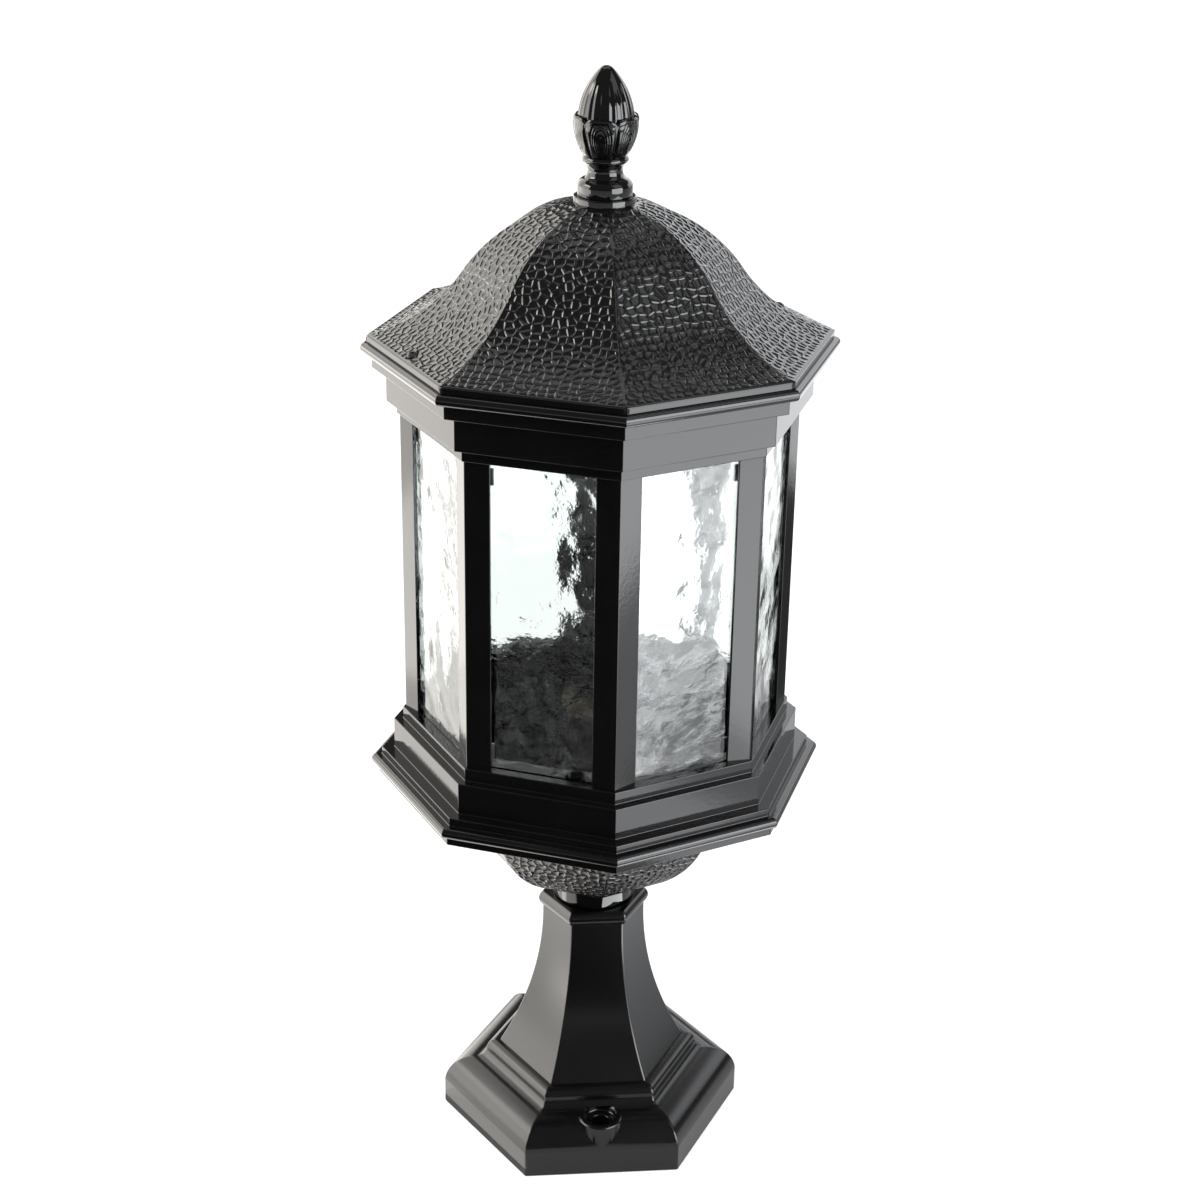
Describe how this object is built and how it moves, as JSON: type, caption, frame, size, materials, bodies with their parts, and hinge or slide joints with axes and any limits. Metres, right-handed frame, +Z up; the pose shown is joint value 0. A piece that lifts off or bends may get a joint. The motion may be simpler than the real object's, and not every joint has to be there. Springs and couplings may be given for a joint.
{
  "type": "pillar light",
  "caption": "Octagonal lantern with rippled glass panes, a hammered ogee roof and an acorn finial, on a flared hexagonal pedestal that bolts down to a gate pillar or wall.",
  "frame": {"origin": "centre of the pedestal's underside, on the lantern's axis", "axes": "+Z up along the lantern's axis, -Y towards the lantern's front corner and the pedestal's front face"},
  "size_m": [0.23, 0.23, 0.5626],
  "materials": {
    "gloss_black": "gloss",
    "hammered_black": "gloss",
    "water_glass": "polished",
    "black_screw": "satin",
    "zinc_steel": "satin",
    "holder_black": "satin",
    "holder_ceramic": "satin",
    "contact_brass": "satin"
  },
  "bodies": {
    "lantern": {"neck_ring": "gloss_black", "pedestal": "gloss_black", "cornice_frame": "gloss_black", "sill_frame": "gloss_black", "corner_post_1": "gloss_black", "corner_post_2": "gloss_black", "corner_post_3": "gloss_black", "corner_post_4": "gloss_black", "corner_post_5": "gloss_black", "corner_post_6": "gloss_black", "corner_post_7": "gloss_black", "corner_post_8": "gloss_black", "bowl": "hammered_black", "glass_panel_1": "water_glass", "glass_panel_2": "water_glass", "glass_panel_3": "water_glass", "glass_panel_4": "water_glass", "glass_panel_5": "water_glass", "glass_panel_6": "water_glass", "glass_panel_7": "water_glass", "glass_panel_8": "water_glass", "post_screws_upper": "zinc_steel", "post_screws_lower": "zinc_steel", "glass_clips_upper": "zinc_steel", "glass_clips_lower": "zinc_steel", "clip_screws": "zinc_steel", "bowl_screws": "zinc_steel", "tie_tube": "zinc_steel", "pedestal_washer": "zinc_steel", "pedestal_nut": "zinc_steel", "bowl_washer": "zinc_steel", "bowl_nut": "zinc_steel", "lampholder_lock_nut": "zinc_steel", "lampholder_cap": "holder_black", "lampholder_shell": "holder_black", "lampholder_core": "holder_ceramic", "lamp_sleeve": "contact_brass", "centre_contact": "contact_brass", "terminal_screws": "contact_brass", "earth_screw": "contact_brass"},
    "roof": {"roof": "hammered_black", "finial": "gloss_black", "finial_stud": "zinc_steel", "finial_washer": "zinc_steel", "finial_nut": "zinc_steel", "roof_screws": "black_screw"}
  },
  "joints": [
    {"name": "roof_lift", "type": "slide", "parent": "lantern", "child": "roof", "axis": [0, 0, 1], "range_m": [0, 0.25]}
  ]
}
